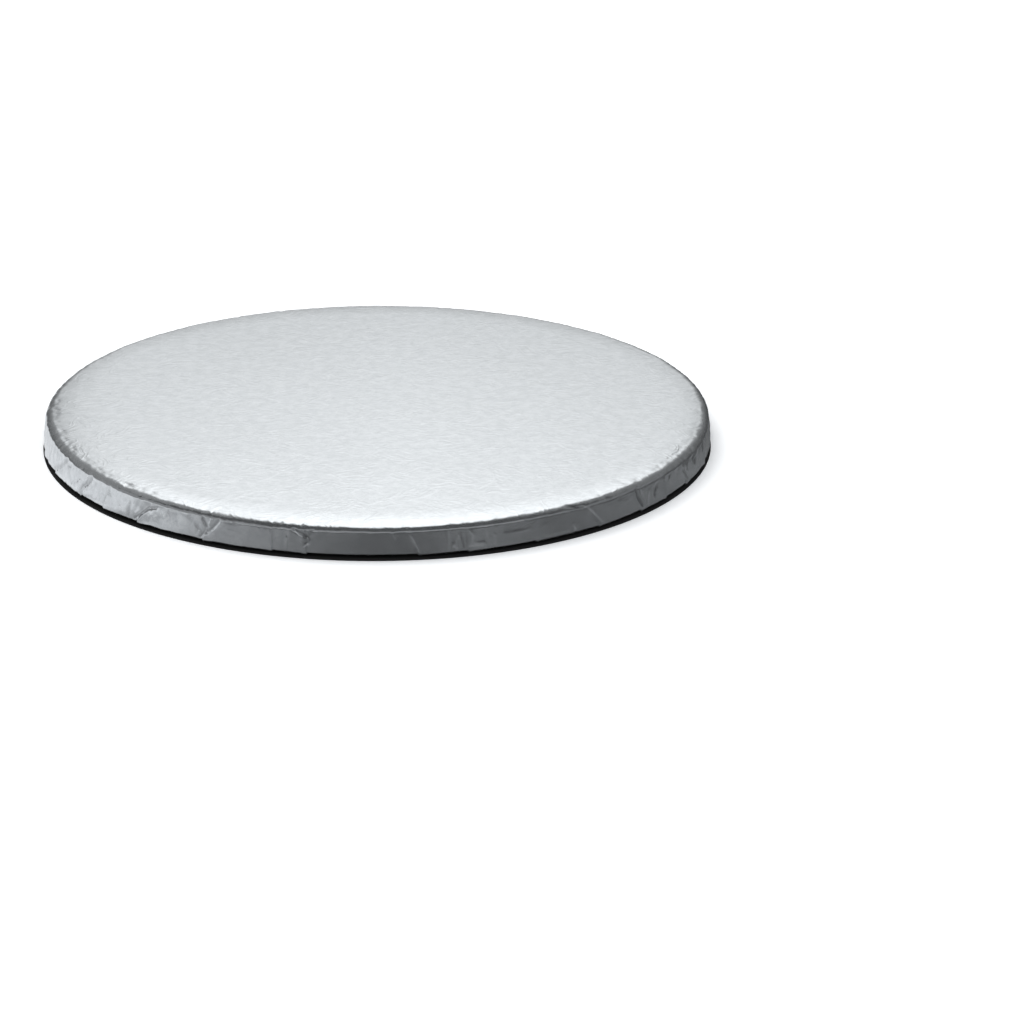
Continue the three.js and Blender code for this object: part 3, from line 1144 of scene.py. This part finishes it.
@dataclass
class FoilWrap:
    """The foil over the face, round the edge and under the board, on the stiff board inside it."""

    section: Section
    name: str = "foil_wrap"
    front_spacing: float = 0.42
    back_spacing: float = 0.75
    ring_spacing: float = 2.0
    pleat_depth: float = 0.55
    wave_height: float = 0.02
    wave_size: float = 16.0
    crumple_size: float = 5.0
    crumple: float = 0.16
    seed: int = 5
    ring_counts: tuple[tuple[float, int], ...] = ((60.0, 480), (28.0, 240), (12.0, 120), (0.0, 60))

    def build(self, finish: FoilFinish) -> bpy.types.Object:
        """Builds the wrap.

        Args:
            finish: the foil's finish.

        Returns:
            The finished piece, a plain closed mesh.
        """
        piece = linked(self.name, self.base_mesh())
        self.emboss(piece, finish.material())
        plain_mesh(piece)
        return piece

    def base_mesh(self) -> bpy.types.Mesh:
        """Makes the wrap with its pleats and creases, without the fine relief.

        Returns:
            The closed mesh, with the unrolled sheet as its UV map.
        """
        stations = self.section.stations()
        cover = Cover()
        angles = self.edge_rows(cover, stations)
        count = len(angles)
        for row in range(len(stations) - 1):
            for column in range(count):
                a, b = row * count + column, row * count + (column + 1) % count
                cover.faces.append((a, a + count, b + count, b))
        self.close_under(cover, count, stations[-1])
        self.close_face(cover, angles)
        mesh = mesh_of(self.name, cover.points, cover.faces, MM)
        flat = MM * np.array(cover.sheet)
        corners = np.zeros(len(mesh.loops), dtype=np.int32)
        mesh.loops.foreach_get("vertex_index", corners)
        layer = mesh.uv_layers.new(name=SHEET_MAP)
        layer.uv.foreach_set("vector", flat[corners].astype(np.float32).ravel())
        for name, known in ((WALL_SHARE, cover.wall), (FOLD_SHADE, cover.crease_shade), (FOLD_SCUFF, cover.scuff)):
            values = np.zeros(len(cover.points), dtype=np.float32)
            values[: len(known)] = known
            mesh.attributes.new(name, "FLOAT", "POINT").data.foreach_set("value", values)
        mesh.shade_smooth()
        mesh.validate()
        return mesh

    def edge_rows(self, cover: Cover, stations: list[Station]) -> np.ndarray:
        """Places the points of the border, the rim, the wall, the foot and the hem.

        Args:
            cover: the wrap to add them to.
            stations: the places on the section.

        Returns:
            The angles of the first row.
        """
        section = self.section
        plan = PleatPlan(section)
        creases = CreasePlan(plan)
        columns = plan.columns(self.front_spacing, self.back_spacing)
        place, spread, lean, level = (
            np.array([getattr(column, name) for column in columns])
            for name in ("place", "spread", "lean", "level")
        )
        start = section.radius - section.rim_width
        first = None
        for station in stations:
            around = place + spread * station.spread + lean * (station.spread - 0.5)
            angle = around / section.radius
            pressed, crease_shaded, scuffed = creases.depth(around, np.full_like(around, station.along))
            dent = np.maximum(self.pleat_depth * station.rise * level + pressed, 0.0)
            if station.height > section.thickness / 2 and station.inset > 0:
                shift = section.rim_shift(angle, station.inset)
            else:
                shift = section.around(section.slack, angle) * section.lean_share(station.height)
            radius = section.radius - station.inset - shift + station.inward[0] * dent
            height = np.minimum(station.height + station.inward[1] * dent, section.thickness)
            cover.ring(radius, height, start + station.along, angle)
            cover.wall += list(station.wall * section.around(section.crumpled, angle))
            cover.crease_shade += list(crease_shaded)
            cover.scuff += list(scuffed)
            first = angle if first is None else first
        return first

    @staticmethod
    def close_under(cover: Cover, count: int, last: Station) -> None:
        """Closes the wrap under the board, where the paper hides it.

        Args:
            cover: the wrap so far.
            count: the number of points in a row.
            last: the last station of the section.
        """
        start = len(cover.points) - count
        centre = cover.centre(last.height, 1.0)
        cover.faces += [(centre, start + (column + 1) % count, start + column) for column in range(count)]

    def close_face(self, cover: Cover, angles: np.ndarray) -> None:
        """Covers the face with rings of points that get fewer towards the centre.

        Args:
            cover: the wrap so far, whose first row lies just inside the rim.
            angles: the angles of the first row.
        """
        section = self.section
        outer, outer_angles = range(len(angles)), angles
        span = section.radius - section.rim_width - section.border_width
        steps = round(span / self.ring_spacing)
        for step in range(1, steps):
            radius = span * (1 - step / steps)
            count = next(number for least, number in self.ring_counts if radius > least)
            angle = angles[0] + np.arange(count) * 2 * math.pi / count
            inset = section.radius - radius
            start = len(cover.points)
            height = np.full(count, section.face_height(inset))
            cover.ring(radius - section.rim_shift(angle, inset), height, radius, angle)
            cover.wall += [0.0] * count
            inner = range(start, start + count)
            cover.faces += stitched(inner, angle, outer, outer_angles)
            outer, outer_angles = inner, angle
        centre = cover.centre(section.thickness, 0.0)
        following = [*outer[1:], outer[0]]
        cover.faces += [(centre, here, beside) for here, beside in zip(outer, following)]

    def emboss(self, piece: bpy.types.Object, material: bpy.types.Material) -> None:
        """Presses the fine relief into the foil with geometry nodes.

        Args:
            piece: the wrap.
            material: its material.
        """
        tree = self.relief_tree()
        modifier = piece.modifiers.new("relief", "NODES")
        modifier.node_group = tree
        values = {
            "Wave Size": self.wave_size * MM,
            "Wave Height": self.wave_height * MM,
            "Crumple Size": self.crumple_size * MM,
            "Crumple": self.crumple * MM,
            "Seed": self.seed,
            "Material": material,
        }
        for item in tree.interface.items_tree:
            if item.in_out == "INPUT" and item.name in values:
                modifier[item.identifier] = values[item.name]

    @staticmethod
    def relief_tree() -> bpy.types.NodeTree:
        """Builds the tree that makes the face slightly uneven and crumples the wall.

        Returns:
            The geometry node tree, with its sizes as named inputs.
        """
        tree = new_group(
            "foil_relief",
            "GeometryNodeTree",
            {
                "Geometry": ("NodeSocketGeometry", None),
                "Wave Size": ("NodeSocketFloat", 0.016),
                "Wave Height": ("NodeSocketFloat", 0.00002),
                "Crumple Size": ("NodeSocketFloat", 0.007),
                "Crumple": ("NodeSocketFloat", 0.0002),
                "Seed": ("NodeSocketInt", 5),
                "Material": ("NodeSocketMaterial", None),
            },
            {"Geometry": "NodeSocketGeometry"},
        )
        desk = NodeDesk(tree)
        start = desk.add("NodeGroupInput").outputs
        wall = desk.add("GeometryNodeInputNamedAttribute", {"Name": WALL_SHARE}, data_type="FLOAT")
        wall = wall.outputs["Attribute"]
        here = desk.add("GeometryNodeInputPosition").outputs[0]
        wave = desk.noise(here, desk.maths("DIVIDE", 1.0, start["Wave Size"]), 1.0, 0.5, 0.0)
        face = desk.maths("SUBTRACT", 1.0, wall)
        raised = desk.maths("MULTIPLY", desk.maths("MULTIPLY", wave, start["Wave Height"]), face)
        scale = desk.maths("DIVIDE", 1.0, start["Crumple Size"])
        inputs = {"Vector": here, "W": start["Seed"], "Scale": scale}
        cells = desk.add("ShaderNodeTexVoronoi", inputs, feature="F1", voronoi_dimensions="4D")
        pressed = desk.maths("MULTIPLY", cells.outputs["Distance"], start["Crumple"])
        pressed = desk.maths("MULTIPLY", pressed, wall)
        lowest = desk.maths("SUBTRACT", raised, start["Wave Height"])
        normal = desk.add("GeometryNodeInputNormal").outputs[0]
        inputs = {0: normal, "Scale": desk.maths("SUBTRACT", lowest, pressed)}
        move = desk.add("ShaderNodeVectorMath", inputs, operation="SCALE").outputs[0]
        inputs = {"Geometry": start["Geometry"], "Offset": move}
        moved = desk.add("GeometryNodeSetPosition", inputs).outputs[0]
        whole = desk.add("GeometryNodeRealizeInstances", {0: moved}).outputs[0]
        inputs = {"Geometry": whole, "Material": start["Material"]}
        dressed = desk.add("GeometryNodeSetMaterial", inputs).outputs[0]
        desk.add("NodeGroupOutput", {"Geometry": dressed})
        return tree


@dataclass
class BasePaper:
    """The plain paper disc under the board, which covers the turned-under edge of the foil."""

    section: Section
    name: str = "base_paper"
    columns: int = 360
    wander: float = 0.25
    waves: tuple[tuple[int, float, float], ...] = ((5, 0.7, 1.0), (13, 0.0, 0.5), (31, 2.0, 0.3))
    edge_lift: float = 0.12
    lifts: int = 44
    curl_widths: tuple[float, float, float] = (4.0, 0.8, 0.1)
    curl_share: float = 0.6
    edge_round: float = 0.08
    overlap: float = 0.05
    sharp_angle: float = 50.0

    def build(self, finish: PaperFinish) -> bpy.types.Object:
        """Builds the disc.

        Args:
            finish: the paper's finish.

        Returns:
            The finished piece, a plain closed mesh.
        """
        section = self.section
        outside = section.radius - section.hem_width
        count = self.columns
        angle = np.arange(count) * 2 * math.pi / count
        wave = sum(weight * np.sin(turns * angle + shift) for turns, shift, weight in self.waves)
        most = sum(weight for _, _, weight in self.waves)
        edge = outside + self.wander * (wave - most) / most
        lift = self.edge_lift * (0.5 + 0.5 * np.sin(self.lifts * angle + np.sin(7 * angle)))
        top = section.paper_step - self.overlap
        flat = np.zeros_like(angle)
        curled, lifted, rounded = (edge - width for width in self.curl_widths)
        rings = [
            (flat + outside * 0.5, flat),
            (curled, flat),
            (lifted, lift * self.curl_share),
            (rounded, lift),
            (edge, lift + self.edge_round),
            (edge, flat + top),
        ]
        points: list[tuple[float, float, float]] = [(0.0, 0.0, 0.0)]
        for radius, height in rings:
            points += zip(radius * np.sin(angle), -radius * np.cos(angle), height)
        points.append((0.0, 0.0, top))
        last = len(points) - 1
        final = last - count
        faces: list[tuple[int, ...]] = []
        for column in range(count):
            beside = (column + 1) % count
            faces.append((0, 1 + beside, 1 + column))
            for row in range(len(rings) - 1):
                a, b = 1 + row * count + column, 1 + row * count + beside
                faces.append((a, b, b + count, a + count))
            faces.append((final + column, final + beside, last))
        mesh = mesh_of(self.name, points, faces, MM)
        mesh.materials.append(finish.material())
        mesh.shade_smooth()
        mesh.set_sharp_from_angle(angle=math.radians(self.sharp_angle))
        return linked(self.name, mesh)


@dataclass(frozen=True)
class CameraPlace:
    """The camera, as the photograph's perspective gives it, in millimetres and degrees.

    Only the sight, how far it sees, is in metres.
    """

    place: tuple[float, float, float] = (51.1, -2142.3, 772.8)
    down: float = 20.52
    roll: float = 0.18
    focal_pixels: float = 6000.0
    image_pixels: float = 1024.0
    sensor: float = 36.0
    sight: float = 50.0

    def build(self) -> bpy.types.Object:
        """Adds the camera and makes it the scene's own.

        Returns:
            The camera.
        """
        lens = bpy.data.cameras.new("camera")
        lens.sensor_width = self.sensor
        lens.lens = self.focal_pixels / self.image_pixels * self.sensor
        lens.clip_end = self.sight
        camera = linked("camera", lens)
        down, roll = math.radians(self.down), math.radians(self.roll)
        ahead = Vector((0, math.cos(down), -math.sin(down)))
        side = Vector((1, 0, 0))
        above = side.cross(ahead)
        right = math.cos(roll) * side + math.sin(roll) * above
        up = math.cos(roll) * above - math.sin(roll) * side
        turn = Matrix((right, up, -ahead)).transposed()
        camera.matrix_world = Matrix.Translation(MM * Vector(self.place)) @ turn.to_4x4()
        bpy.context.scene.camera = camera
        return camera


@dataclass(frozen=True)
class Surroundings:
    """What the foil mirrors far away, and the even light on everything else.

    Angles are in degrees over the horizon, and levels are of radiance.
    """

    fill: float = 0.72
    tint: tuple[float, float, float] = (0.98, 1.0, 1.02)
    overhead: float = 0.03
    ring: float = 0.19
    ring_at_right: float = 0.10
    ring_at_front: float = 0.20
    ring_rise: tuple[float, float] = (6.0, 16.0)
    ring_fall: tuple[float, float] = (34.0, 52.0)
    front_part: tuple[float, float] = (95.0, 150.0)
    low_left: float = 0.72
    low_part: tuple[float, float] = (2.0, 9.0)
    side_part: tuple[float, float] = (-0.2, 0.2)
    low_side: tuple[float, float] = (0.1, -0.3)
    least_level: float = 1e-4

    def build(self) -> bpy.types.World:
        """Builds the world.

        Returns:
            The world, which the camera sees as plain white.
        """
        world = bpy.data.worlds.new("studio")
        world.use_nodes = True
        bpy.context.scene.world = world
        world.node_tree.nodes.clear()
        desk = NodeDesk(world.node_tree)
        x, y, z = desk.parts("Generated")
        level = desk.length(x, y)
        from_back = desk.maths("DIVIDE", y, desk.maths("MAXIMUM", level, self.least_level))
        from_back = desk.maths("ARCCOSINE", from_back)
        over = desk.maths("ARCTAN2", z, level)
        rise = self.step(desk, over, self.ring_rise, 0, 1)
        ring = desk.maths("MULTIPLY", rise, self.step(desk, over, self.ring_fall, 1, 0))
        sides = desk.ramp(x, *self.side_part, self.ring, self.ring_at_right)
        strength = self.step(desk, from_back, self.front_part, sides, self.ring_at_front)
        glow = desk.maths("MULTIPLY_ADD", ring, strength, self.overhead)
        low = self.step(desk, over, self.low_part, self.low_left, 0)
        glow = desk.maths("ADD", glow, desk.maths("MULTIPLY", low, desk.ramp(x, *self.low_side)))
        rays = desk.add("ShaderNodeLightPath").outputs
        eye = rays["Is Camera Ray"]
        mirrored = desk.maths("MAXIMUM", rays["Is Glossy Ray"], rays["Is Transmission Ray"])
        seen = desk.maths("ADD", desk.maths("MULTIPLY", mirrored, glow), eye)
        matt = desk.maths("SUBTRACT", 1.0, desk.maths("MAXIMUM", mirrored, eye))
        colour = desk.blend(eye, (*self.tint, 1), WHITE)
        inputs = {"Color": colour, "Strength": desk.maths("MULTIPLY_ADD", matt, self.fill, seen)}
        desk.show(desk.add("ShaderNodeBackground", inputs), "ShaderNodeOutputWorld")
        return world

    @staticmethod
    def step(desk: NodeDesk, value: object, span: tuple[float, float], start: object, end: object) -> Socket:
        """Steps smoothly from one level to another over a span of degrees."""
        return desk.ramp(value, math.radians(span[0]), math.radians(span[1]), start, end)


def bare_material(name: str) -> tuple[bpy.types.Material, NodeDesk]:
    """Makes a material without any node.

    Args:
        name: its name.

    Returns:
        The material, and the desk that adds its nodes.
    """
    material = bpy.data.materials.new(name)
    material.use_nodes = True
    material.node_tree.nodes.clear()
    return material, NodeDesk(material.node_tree)


def mirrored_only(card: bpy.types.Object) -> bpy.types.Object:
    """Lets only mirror rays see a card.

    Args:
        card: the card.

    Returns:
        The same card.
    """
    card.visible_camera = False
    card.visible_diffuse = False
    card.visible_shadow = False
    card.visible_transmission = False
    return card


@dataclass(frozen=True)
class Floor:
    """The plain pale floor. The camera and mirrors see it as white, with the board's shadow on it."""

    half: float = 4.0
    drop: float = 0.00006
    tone: float = 0.8
    shown: float = 1.45

    def build(self) -> bpy.types.Object:
        """Adds the floor.

        Returns:
            The floor.
        """
        corners = [(-1, -1), (1, -1), (1, 1), (-1, 1)]
        points = [(x * self.half, y * self.half, -self.drop) for x, y in corners]
        mesh = mesh_of("floor", points, [(0, 1, 2, 3)])
        material, desk = bare_material("floor")
        rays = desk.add("ShaderNodeLightPath").outputs
        seen = desk.maths("MAXIMUM", rays["Is Camera Ray"], rays["Is Glossy Ray"])
        seen = desk.maths("MAXIMUM", seen, rays["Is Transmission Ray"])
        tone = desk.maths("MULTIPLY_ADD", seen, self.shown - self.tone, self.tone)
        grey = desk.add("ShaderNodeCombineColor", {0: tone, 1: tone, 2: tone}).outputs[0]
        desk.show(desk.add("ShaderNodeBsdfDiffuse", {"Color": grey}))
        mesh.materials.append(material)
        floor = linked("floor", mesh)
        return floor


@dataclass(frozen=True)
class PaintedShadowPad:
    """A thin black pad under the board, a painted contact shadow, which shows only as the dark line at its
    foot.
    """

    section: Section
    inset: float = 0.5
    forward: float = 2.0
    drop: float = 0.03
    tone: float = 0.03
    columns: int = 180

    def build(self) -> bpy.types.Object:
        """Adds the pad.

        Returns:
            The pad.
        """
        points = circle(self.section.radius - self.inset, -self.drop, self.columns, self.forward)
        mesh = mesh_of("painted_shadow_pad", points, [tuple(range(self.columns))], MM)
        material = bpy.data.materials.new("painted_shadow_pad")
        material.use_nodes = True
        shader = material.node_tree.nodes["Principled BSDF"]
        grey = (self.tone, self.tone, self.tone, 1)
        inputs = {"Base Color": grey, "Roughness": 1.0, "Specular IOR Level": 0.0}
        NodeDesk(material.node_tree).feed(shader, inputs)
        mesh.materials.append(material)
        pad = linked("painted_shadow_pad", mesh)
        return pad


@dataclass(frozen=True)
class FloorCard:
    """A glowing card on the floor round the board, which only the foil sees in its mirror: it paints the
    wall's reflections, light at the left and dark at the front and right.

    Near the board its level varies round it, in degrees from the front, and far from it the card is dark.
    Under the board and at its foot it is black, a painted contact shadow that the foot mirrors.
    """

    section: Section
    inside: float = 8.0
    reach: float = 2500.0
    lift: float = 0.02
    columns: int = 180
    contact_shadow: tuple[float, float] = (-0.6, 0.7)
    edge: tuple[float, float, float] = (2.0, 25.0, 0.87)
    edge_width: tuple[float, float] = (0.5, 9.0)
    tint: tuple[float, float, float] = (0.975, 1.0, 1.025)
    near_levels: Table = (
        (-180, 0.55), (-110, 0.72), (-78, 0.80), (-67, 0.84), (-62, 0.74), (-59.5, 0.52), (-57, 0.76),
        (-54, 0.74), (-51, 0.52), (-48.5, 0.40), (-45, 0.36), (-41.5, 0.54), (-38, 0.48), (-35, 0.40),
        (-32, 0.33), (-29, 0.26), (-24, 0.235), (-18, 0.195), (-14, 0.145), (-9, 0.115), (0, 0.07),
        (9, 0.073), (20, 0.13), (26, 0.11), (36, 0.08), (53, 0.11), (66, 0.12), (74, 0.15), (95, 0.12),
        (125, 0.45), (180, 0.55),
    )
    far_levels: Table = (
        (-180, 0.05), (-150, 0.5), (-110, 0.72), (-60, 0.72), (-50, 0.48), (-36, 0.22), (-26, 0.05),
        (180, 0.05),
    )

    def build(self) -> bpy.types.Object:
        """Adds the card.

        Returns:
            The card.
        """
        count = self.columns
        points = circle(self.section.radius - self.inside, self.lift, count)
        points += circle(self.reach, self.lift, count)
        faces = [(i, i + count, (i + 1) % count + count, (i + 1) % count) for i in range(count)]
        mesh = mesh_of("floor_card", points, faces, MM)
        mesh.materials.append(self.material())
        return mirrored_only(linked("floor_card", mesh))

    def material(self) -> bpy.types.Material:
        """Builds the card's material.

        Returns:
            The material, which glows by the place on the card.
        """
        material, desk = bare_material("floor_card")
        x, y, _ = desk.parts("Object")
        around = desk.maths("ARCTAN2", x, desk.maths("MULTIPLY", y, -1.0))
        away = desk.maths("SUBTRACT", desk.maths("DIVIDE", desk.length(x, y), MM), self.section.radius)
        share = desk.maths("MULTIPLY_ADD", around, 1 / (2 * math.pi), 0.5)
        near, far = (desk.levels(share, table, (-180, 180)) for table in (self.near_levels, self.far_levels))
        base, grows, slower = self.edge
        edge = desk.maths("COSINE", desk.maths("MULTIPLY", around, slower))
        edge = desk.maths("MAXIMUM", desk.maths("MULTIPLY_ADD", edge, grows, base), base)
        distant = desk.ramp(desk.maths("SUBTRACT", away, edge), *self.edge_width)
        colour = desk.times(desk.blend(distant, near, far), (*self.tint, 1))
        # Black under the board and at its foot: painted contact shadow, seen in the foot's mirror
        inputs = {"Color": colour, "Strength": desk.ramp(away, *self.contact_shadow)}
        desk.show(desk.add("ShaderNodeEmission", inputs))
        return material


@dataclass(frozen=True)
class BackCard:
    """A large softly lit card behind the board, which its face mirrors. Sizes are in millimetres."""

    place: float = 400.0
    half_width: float = 900.0
    top: float = 2000.0
    tint: tuple[float, float, float] = (0.98, 1.0, 1.005)
    heights: Table = (
        (0, 0.20), (40, 0.40), (85, 0.63), (106, 0.72), (150, 0.87), (190, 0.90), (206, 0.94), (225, 1.15),
        (300, 1.35), (1100, 1.35), (1700, 0.6), (2000, 0.1),
    )
    widths: Table = (
        (-900, 0.12), (-300, 0.15), (-215, 0.24), (-170, 0.68), (-135, 0.92), (10, 1.0), (130, 0.90),
        (155, 0.78), (205, 0.22), (300, 0.10), (900, 0.08),
    )

    def build(self) -> bpy.types.Object:
        """Adds the card.

        Returns:
            The card.
        """
        w, y, top = self.half_width * MM, self.place * MM, self.top * MM
        mesh = mesh_of("back_card", [(-w, y, 0), (w, y, 0), (w, y, top), (-w, y, top)], [(0, 1, 2, 3)])
        material, desk = bare_material("back_card")
        x, _, z = desk.parts("Object")
        up = desk.levels(desk.maths("DIVIDE", z, top), self.heights, (0, self.top))
        across = desk.maths("MULTIPLY_ADD", x, 0.5 / w, 0.5)
        sides = desk.levels(across, self.widths, (-self.half_width, self.half_width))
        colour = desk.times(desk.times(up, sides), (*self.tint, 1))
        desk.show(desk.add("ShaderNodeEmission", {"Color": colour}))
        mesh.materials.append(material)
        return mirrored_only(linked("back_card", mesh))


@dataclass(frozen=True)
class SoftLamp:
    """A large soft lamp over the back left of the board, in metres and watts."""

    place: tuple[float, float, float] = (-0.7, 0.8, 1.7)
    size: float = 1.2
    power: float = 8.0

    def build(self) -> bpy.types.Object:
        """Adds the lamp, aimed at the board.

        Returns:
            The lamp.
        """
        light = bpy.data.lights.new("soft_lamp", "AREA")
        light.shape = "DISK"
        light.size = self.size
        light.energy = self.power
        lamp = linked("soft_lamp", light)
        lamp.location = self.place
        lamp.rotation_euler = Vector(self.place).to_track_quat("Z", "Y").to_euler()
        lamp.visible_glossy = False
        return lamp


def settle(piece: bpy.types.Object) -> None:
    """Says where a finished piece rides, hides the imported board, and reports it.

    Args:
        piece: the piece.
    """
    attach(piece, BODY)
    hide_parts(NODE)
    log.info("%s: %d triangles on %s", piece.name, triangles(piece), BODY)


def main() -> None:
    """Builds the studio and the board."""
    logging.basicConfig(level=logging.INFO, format="%(name)s %(message)s")
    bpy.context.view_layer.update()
    bpy.context.scene.view_settings.view_transform = "Standard"
    CameraPlace().build()
    section = Section.from_frame(NODE)
    Surroundings().build()
    Floor().build()
    PaintedShadowPad(section).build()
    FloorCard(section).build()
    BackCard().build()
    SoftLamp().build()
    groups = SurfaceGroups()
    settle(FoilWrap(section).build(FoilFinish(groups)))
    settle(BasePaper(section).build(PaperFinish(groups)))


if __name__ == "__main__":
    main()
